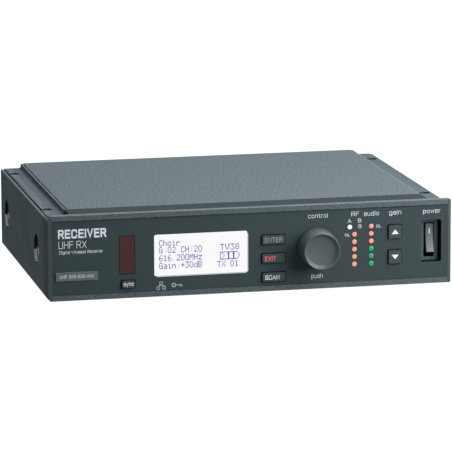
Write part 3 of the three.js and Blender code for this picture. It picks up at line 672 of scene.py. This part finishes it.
def display_edge(bm):
    """The chamfer of the display window's seat along its right and lower sides."""
    side_line, low_line, cut = 0.55 * MM, 0.385 * MM, 1 * MM
    y0, y1 = FACE_Y - INK, FACE_Y
    low_z, high_x = WINDOW_LOW.z - 0.4 * MM, WINDOW_HIGH.x + 0.35 * MM
    inner_x, inner_z = high_x - cut, low_z + cut
    add_box(bm, (high_x - side_line, y0, inner_z), (high_x, y1, WINDOW_HIGH.z - cut))
    add_box(bm, (WINDOW_LOW.x + cut, y0, low_z), (inner_x, y1, low_z + low_line))
    corner = [(inner_x, low_z), (high_x, inner_z), (high_x - side_line, inner_z), (inner_x, low_z + low_line)]
    add_loft(bm, [[(x, y, z) for x, z in corner] for y in (y0, y1)])


ICON_LEVEL = 5.1 * MM
ARROW_RISE = 0.31  # from an arrow's middle to its tip, for each unit of its width


def outline_square(bm, x, z, size, line, y):
    """Four bars round an open middle."""
    half = size / 2
    for side in (-1, 1):
        edge = sorted((side * half, side * (half - line)))
        add_box(bm, (x - half, y - INK, z + edge[0]), (x + half, y, z + edge[1]))
        add_box(bm, (x + edge[0], y - INK, z - half + line), (x + edge[1], y, z + half - line))


def network_icon(bm):
    """One square over two, joined by lines."""
    x, z, y = -44.6 * MM, ICON_LEVEL, FACE_Y
    square, line, rise, spread = 1.6 * MM, 0.28 * MM, 1.15 * MM, 1.4 * MM
    outline_square(bm, x, z + rise, square, line, y)
    for side in (-1, 1):
        low_x = x + side * spread
        outline_square(bm, low_x, z - rise, square, line, y)
        add_box(bm, (low_x - line / 2, y - INK, z - rise + square / 2), (low_x + line / 2, y, z + 0.1 * MM))
    add_box(bm, (x - spread, y - INK, z - 0.05 * MM), (x + spread, y, z + 0.2 * MM))


def key_icon(bm):
    """A ring, a stem and two teeth."""
    x, z, y = -38.4 * MM, ICON_LEVEL, FACE_Y
    outer, inner = 1.1 * MM, 0.62 * MM
    half_stem, end, tooth_width, tooth_foot = 0.17 * MM, 4.1 * MM, 0.35 * MM, 0.8 * MM
    ring = [(outer, y - INK), (inner, y - INK), (inner, y), (outer, y), (outer, y - INK)]
    add_turned(bm, ring, 20, (x, y, z))
    add_box(bm, (x + outer, y - INK, z - half_stem), (x + end, y, z + half_stem))
    for tooth in (x + 2.9 * MM, x + 3.7 * MM):
        add_box(bm, (tooth, y - INK, z - tooth_foot), (tooth + tooth_width, y, z - half_stem))


def arrow(centre, size, up, y):
    """A flat triangle pointing up or down."""
    tip = size * ARROW_RISE * (1 if up else -1)
    corners = [(-size / 2, -tip), (size / 2, -tip), (0, tip)]
    outlines = [[(centre.x + x, level, centre.z + z) for x, z in corners] for level in (y - INK, y)]
    return mesh_of(lambda bm: add_loft(bm, outlines))


def add_marks(m):
    """All the lettering and icons, front and back."""
    white, grey, red = m["ink_white"], m["ink_grey"], m["ink_red"]
    # Name, text, place, cap height and width in millimetres, and stroke weight.
    front = [
        ("label_title", "RECEIVER", (-82.5, 30.0), 4.4, 23.2, 3.1),
        ("label_band", "UHF RX", (-87.2, 25.2), 3.5, 13.4, 1.1),
        ("label_kind", "Digital Wireless Receiver", (-83.1, 22.6), 1.5, 21.0, 1.5),
        ("label_control", "control", (32.4, 34.5), 2.15, 9.5, 1.2),
        ("label_push", "push", (32.0, 5.1), 2.1, 5.6, 1.2),
        ("label_rf", "RF", (50.9, 34.6), 2.15, 3.8, 1.2),
        ("label_audio", "audio", (59.0, 34.5), 2.15, 7.5, 1.2),
        ("label_a", "A", (48.1, 31.4), 1.9, 1.9, 1.5),
        ("label_b", "B", (53.1, 31.4), 1.9, 1.6, 1.4),
        ("label_overload_rf", "OL", (47.0, 24.8), 1.4, 2.5, 1.7),
        ("label_overload_audio", "OL", (62.6, 28.5), 1.4, 2.5, 1.7),
        ("label_gain", "gain", (70.8, 34.5), 2.15, 6.0, 1.2),
        ("label_power", "power", (89.1, 34.4), 2.15, 8.6, 1.2),
    ]
    for name, text, (x, z), cap, width, weight in front:
        gap = TITLE_SPACE if name == "label_title" else LETTER_SPACE
        add_label(name, text, (x * MM, z * MM), cap, width, FACE_Y, white, weight=weight, gap=gap)
    plate = middle("frequency_plate")
    add_label("label_range", "UHF 500-600 MHz", (plate.x, plate.z - 0.8 * MM), 1.6, 16.5,
              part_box("frequency_plate")[0].y, m["ink_plate"])
    # Key, width in millimetres, ink and stroke weight.
    keys = [("enter", 8.5, grey, 1.1), ("exit", 5.4, red, 2.1), ("scan", 7.1, white, 2.2)]
    margin, cap = 2.3 * MM, 2.2
    for key, width, ink, weight in keys:
        low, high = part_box(f"{key}_button")
        at = (low.x + margin + width / 2 * MM, (low.z + high.z) / 2 - 1.15 * MM)
        add_label(f"label_{key}", key.upper(), at, cap, width, low.y, ink, f"{key}_key", weight)
    sync = middle("sync_button")
    add_label("label_sync", "sync", (sync.x + 0.2 * MM, sync.z - 0.7 * MM), 1.95, 5.0,
              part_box("sync_button")[0].y, white, "sync_key", 1.9)
    for key, up in (("gain_up", True), ("gain_down", False)):
        mesh = arrow(middle(f"{key}_button"), 3.6 * MM, up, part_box(f"{key}_button")[0].y)
        add_piece(f"mark_{key}", mesh, white, f"{key}_key")
    add_piece("display_marks", mesh_of(display_marks), m["dots"], ROOT)
    add_piece("display_chamfer", mesh_of(display_edge), m["screen_edge"], ROOT)
    add_piece("mark_network", mesh_of(network_icon), m["ink_bright"], ROOT)
    add_piece("mark_key", mesh_of(key_icon), m["ink_bright"], ROOT)
    # Name, text, x, z and width in millimetres.
    rear = [
        ("label_rear_a", "antenna A", 84, 31.0, 9.5), ("label_rear_dc", "12-15 V", 62, 29.5, 8.0),
        ("label_rear_network", "network", 30, 30.5, 8.5), ("label_rear_level", "mic   line", 8, 24.5, 10.0),
        ("label_rear_jack", "line out", -50, 31.0, 8.0), ("label_rear_b", "antenna B", -84, 31.0, 9.5),
        ("label_rear_balanced", "balanced", -36.6, 34.0, 7.6),
    ]
    for name, text, x, z, width in rear:
        add_label(name, text, (x * MM, z * MM), 1.5, width, REAR_Y, white, back=True)


# ---- Front pieces ------------------------------------------------------------------------------


def knob_profile():
    """Outline from the dished front face, over the rim and along the tapered side, to the hollow back."""
    front, back = KNOB_LOW.y, KNOB_HIGH.y
    base = (KNOB_HIGH.x - KNOB_LOW.x) / 2
    tip, dish, disc = 8.95 * MM, 1.6 * MM, 6.9 * MM
    lip, crease, foot = 0.42 * MM, 0.12 * MM, 0.25 * MM
    cup, cup_end, bore, bore_end = 7.6 * MM, back - 3.6 * MM, 3.35 * MM, back - 9 * MM
    rows = [(0, front + dish), (disc - crease, front + dish), (disc, front + dish - crease / 4)]
    rows += [(tip - lip - crease, front + crease / 2), (tip - lip, front)]
    for i in range(5):
        turn = math.pi / 2 * i / 4
        rows.append((tip - lip + lip * math.sin(turn), front + lip - lip * math.cos(turn)))
    length = back - front
    for share in (0.25, 0.5, 0.7, 0.85, 0.95):
        rows.append((tip + (base - tip) * share ** 1.6, front + lip + (length - lip) * share))
    rows += [(base, back - foot), (base - foot, back), (cup, back), (cup, cup_end)]
    rows += [(bore, cup_end), (bore, bore_end), (0, bore_end)]
    return rows


def add_knob(m):
    centre = middle("control_knob")
    mesh = mesh_of(lambda bm: add_turned(bm, knob_profile(), 128, centre))
    knob = add_piece("dial_cap", mesh, m["knob"], "control_dial", smooth=28)
    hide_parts("control_knob")


LED_RADIUS = 1.15 * MM
LED_TOP, LED_PITCH = 29.36 * MM, 3.65 * MM


def led_dome(x, z):
    """A shallow dome over one light-pipe pin."""
    back, rise, skirt = FACE_Y - 0.16 * MM, 0.26 * MM, 0.1 * MM
    arc = [math.pi / 2 * i / 5 for i in range(6)]
    dome = [(LED_RADIUS * math.sin(a), back - rise * math.cos(a)) for a in arc]
    dome += [(LED_RADIUS, back + skirt), (0, back + skirt)]
    return mesh_of(lambda bm: add_turned(bm, dome, 28, (x, 0, z)))


def add_lights(m):
    """Two antenna lights, five radio lights and six audio lights, from the top down."""
    rf_x, audio_x = middle("rf_light_pipe").x, middle("audio_light_pipe").x
    lights = [("a", 48.2 * MM, 0, "led_white"), ("b", 53.1 * MM, 0, "led_grey")]
    lights += [(f"rf_{i}", rf_x, i, "led_red") for i in range(1, 6)]
    lights += [(f"audio_{i}", audio_x, i, "led_red" if i < 3 else "led_green") for i in range(6)]
    for name, x, row, tint in lights:
        mesh = led_dome(x, LED_TOP - row * LED_PITCH)
        add_piece(f"light_{name}", mesh, m[tint], ROOT, smooth=40)


ROCKER_PIVOT = Vector((middle("power_rocker").x + 0.4 * MM, FRONT_Y + 6 * MM, 20.8 * MM))
ROCKER_TILT = math.radians(-10)
ROCKER_TOP, ROCKER_FOOT = 7.45 * MM, -6.5 * MM
ROCKER_HALF = 1.9 * MM
ROCKER_FACE = -1.7 * MM  # the dished face's middle, in front of the pivot
ROCKER_BOW = -18.5  # how fast the face comes forward away from there, per metre
ROCKER_SHARP = 0.5  # radians, above which an edge is rounded


def rocker_point(x, y, z):
    """From the untilted rocker, about its pivot, to where it stands at rest."""
    return ROCKER_PIVOT + Matrix.Rotation(ROCKER_TILT, 3, "X") @ Vector((x, y, z))


def rocker_face(z):
    return ROCKER_FACE + ROCKER_BOW * z * z


def add_rocker(m):
    """The rocker with a smoothly dished face and soft edges, with the ON bar on its upper half."""
    steps, edge_y, back, heel = 14, 0.8 * MM, 2.2 * MM, 3 * MM
    rise = [ROCKER_TOP + (ROCKER_FOOT - ROCKER_TOP) * i / steps for i in range(steps + 1)]
    outline = [(rocker_face(z), z) for z in rise]
    outline += [(edge_y, ROCKER_FOOT), (back, -heel), (back, heel), (edge_y, ROCKER_TOP)]

    def build(bm):
        add_loft(bm, [[rocker_point(x, y, z) for y, z in outline] for x in (-ROCKER_HALF, ROCKER_HALF)])
        bmesh.ops.recalc_face_normals(bm, faces=bm.faces)
        sharp = [edge for edge in bm.edges if edge.calc_face_angle() > ROCKER_SHARP]
        bmesh.ops.bevel(bm, geom=sharp, offset=0.3 * MM, segments=3, profile=0.6, affect="EDGES")
    rocker = add_piece("rocker_cap", mesh_of(build), m["rocker"], "power_rocker_body", smooth=35)
    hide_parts("power_rocker")
    half = 0.24 * MM
    section = [(-half, -INK), (half, -INK), (half, INK), (-half, INK)]
    bar = [[rocker_point(x, rocker_face(z) + y, z) for x, y in section]
           for z in (2.5 * MM, 3.8 * MM, 5.1 * MM)]
    mark = mesh_of(lambda bm: add_loft(bm, bar))
    add_piece("mark_power_on", mark, m["ink_white"], "power_rocker_body")


def add_seals(m):
    """Film edges that close the joint between the panel face and the frame, on three sides."""
    side, gap, slope = FRAME_HIGH.x - 1.4 * MM, 0.25 * MM, 1.7 * MM
    low, high, back = 2.5 * MM, 38.6 * MM, FACE_Y + 1 * MM
    right = [(side - slope, FACE_Y), (side, FRONT_Y + INK), (side, back),
             (side - gap, back), (side - gap, FACE_Y)]

    def build(bm):
        add_loft(bm, [[(x, y, z) for x, y in right] for z in (low, high)])
        add_box(bm, (-side, FACE_Y + 0.2 * MM, high - gap), (side, back, high))
        add_box(bm, (-side, FACE_Y + 0.25 * MM, low), (side, back, low + gap))
    # the seal takes the housing plastic, lighter than the panel film: painted light against the shade on its
    # slope
    add_piece("panel_seal", mesh_of(build), m["housing"], ROOT)


# ---- Rear pieces -------------------------------------------------------------------------------


def screw_mesh(centre, radius, front, back, shank, tip):
    """A pan-head screw along Y, before its recess is cut."""
    rim = (back - front) * 0.35  # the straight part of the head
    dome = back - front - rim
    arc = [math.pi / 2 * i / 6 for i in range(7)]
    head = [(radius * math.sin(a), back - rim - dome * math.cos(a)) for a in arc]
    profile = [*head, (radius, back), (shank, back), (shank, tip), (0, tip)]
    return mesh_of(lambda bm: add_turned(bm, profile, 40, centre))


def cross_mesh(centre, span, line, y, deep):
    """A plus-shaped prism along Y."""
    a, b = span / 2, line / 2
    outline = [(a, -b), (a, b), (b, b), (b, a), (-b, a), (-b, b),
               (-a, b), (-a, -b), (-b, -b), (-b, -a), (b, -a), (b, -b)]
    ends = [[(centre.x + x, y + side, centre.z + z) for x, z in outline] for side in (-deep, deep)]
    return mesh_of(lambda bm: add_loft(bm, ends))


def add_rear_screws(m):
    head, shank, lift = 2.9 * MM, 1.5 * MM, 0.1 * MM
    cross_span, cross_line, cross_deep = 3.2 * MM, 0.7 * MM, 0.9 * MM
    for number in (1, 2):
        node = f"rear_screw_{number}"
        low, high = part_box(node)
        centre = (low + high) / 2
        mesh = screw_mesh(centre, head, high.y, REAR_Y + lift, shank, low.y)
        screw = add_piece(f"panel_screw_{number}", mesh, m["steel"], ROOT)
        cutter_mesh = cross_mesh(centre, cross_span, cross_line, high.y, cross_deep)
        cutter = bpy.data.objects.new("cutter", cutter_mesh)
        bpy.context.scene.collection.objects.link(cutter)
        cross = screw.modifiers.new("cross", "BOOLEAN")
        cross.object = cutter
        cross.operation = "DIFFERENCE"
        cross.solver = "EXACT"
        apply_modifiers(screw)
        bpy.data.objects.remove(cutter)
        soften_shading(screw, 30)
        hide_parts(node)


def apply_modifiers(piece):
    """Gives a piece the mesh that its modifiers make, in their place."""
    bpy.context.view_layer.update()
    graph = bpy.context.evaluated_depsgraph_get()
    mesh = bpy.data.meshes.new_from_object(piece.evaluated_get(graph))
    piece.modifiers.clear()
    piece.data = mesh


def add_network_contacts(m):
    """Eight spring wires along the roof of the network socket, each turned down at its inner end."""
    centre, pitch, half = middle("ethernet_jack").x, 1.02 * MM, 0.2 * MM
    inner, outer, bend = REAR_Y - 11 * MM, REAR_Y - 2.5 * MM, REAR_Y - 10.6 * MM
    foot, under, top = 21.2 * MM, 22.9 * MM, 23.2 * MM

    def build(bm):
        for i in range(8):
            x = centre + (i - 3.5) * pitch
            add_box(bm, (x - half, inner, under), (x + half, outer, top))
            add_box(bm, (x - half, inner, foot), (x + half, bend, under + 0.1 * MM))
    add_piece("network_contacts", mesh_of(build), m["gold"], ROOT)


# ---- CAD nodes that stay, with rounded edges and a finish --------------------------------------

PLAIN_EDGE_MM = 0.12
EDGE_MM = {
    "chassis_tray": 0.15, "rear_panel": 0.15, "front_frame": 0.25, "display_window": 0.25,
    "frequency_plate": 0.1, "power_switch_housing": 0.15, "xlr_shell": 0.25, "jack_nut": 0.2,
    "bnc_a_nut": 0.2, "bnc_b_nut": 0.2, "cord_hook": 0.3, "level_slider": 0.15, "ethernet_jack": 0.15,
}
WELD_GAP = 2e-6  # metres
FLAT_ANGLE, BEVEL_ANGLE = 0.6, 40  # degrees, below which faces join and above which edges are rounded
FACE_WEIGHT = 100  # lets the largest face at a corner set its normal
KEY_NAMES = ("sync", "enter", "exit", "scan", "gain_up", "gain_down")
FINISHES = {
    "paint": ["top_cover"],
    "rear": ["rear_panel"],
    "plug_insert": ["xlr_contacts"],
    "tray": ["chassis_tray"],
    "frame": ["front_frame"],
    "panel": ["panel_moulding"],
    "screen": ["display_window", "lcd_module"],
    "ir": ["ir_window"],
    "label": ["frequency_plate"],
    "pipe": ["antenna_light_pipe", "rf_light_pipe", "audio_light_pipe"],
    "key": [f"{key}_button" for key in KEY_NAMES],
    "housing": ["power_switch_housing"],
    "black": ["dc_inlet", "cord_hook", "level_slider", "xlr_shell", "jack_socket"]
             + [f"{key}_switch" for key in KEY_NAMES],
    "board": ["front_board", "main_board"],
    "white_plastic": ["encoder_plunger", "board_link", "bnc_a_contact", "bnc_b_contact"],
    "steel": ["encoder_body", "level_switch"],
    "zinc": [f"rack_plate_{s}_{e}" for s in ("left", "right") for e in ("front", "rear")],
    "nickel": ["encoder_shaft", "encoder_nut", "bnc_a_body", "bnc_b_body", "bnc_a_nut", "bnc_b_nut",
               "dc_inlet_pin", "ethernet_jack", "jack_nut",
               "rf_shield_a", "rf_shield_b", "processor_shield"],
}


def dress_nodes(m):
    """Gives every CAD node that shows its finish and soft edges. Its mesh stays as it is."""
    for finish, names in FINISHES.items():
        for name in names:
            node = NODES[name]
            node.data.materials.clear()
            node.data.materials.append(m[finish])
            weld = node.modifiers.new("weld", "WELD")
            weld.merge_threshold = WELD_GAP
            flat = node.modifiers.new("flat", "DECIMATE")
            flat.decimate_type = "DISSOLVE"
            flat.angle_limit = math.radians(FLAT_ANGLE)
            bevel = node.modifiers.new("bevel", "BEVEL")
            bevel.width = EDGE_MM.get(name, PLAIN_EDGE_MM) * MM
            bevel.segments = 2
            bevel.limit_method = "ANGLE"
            bevel.angle_limit = math.radians(BEVEL_ANGLE)
            bevel.harden_normals = name != "panel_moulding"
            if not bevel.harden_normals:  # its large faces with many holes need more to look flat
                weighted = node.modifiers.new("weighted", "WEIGHTED_NORMAL")
                weighted.weight = FACE_WEIGHT


def main():
    bpy.context.scene.view_settings.view_transform = "Standard"
    materials = make_materials()
    add_camera()
    add_stage()
    add_world()
    for name, (at, aim, size, power) in SOFTBOXES.items():
        add_softbox(name, at, aim, size, power)
    dress_nodes(materials)
    add_knob(materials)
    add_lights(materials)
    add_marks(materials)
    add_rocker(materials)
    add_seals(materials)
    add_rear_screws(materials)
    add_network_contacts(materials)


main()
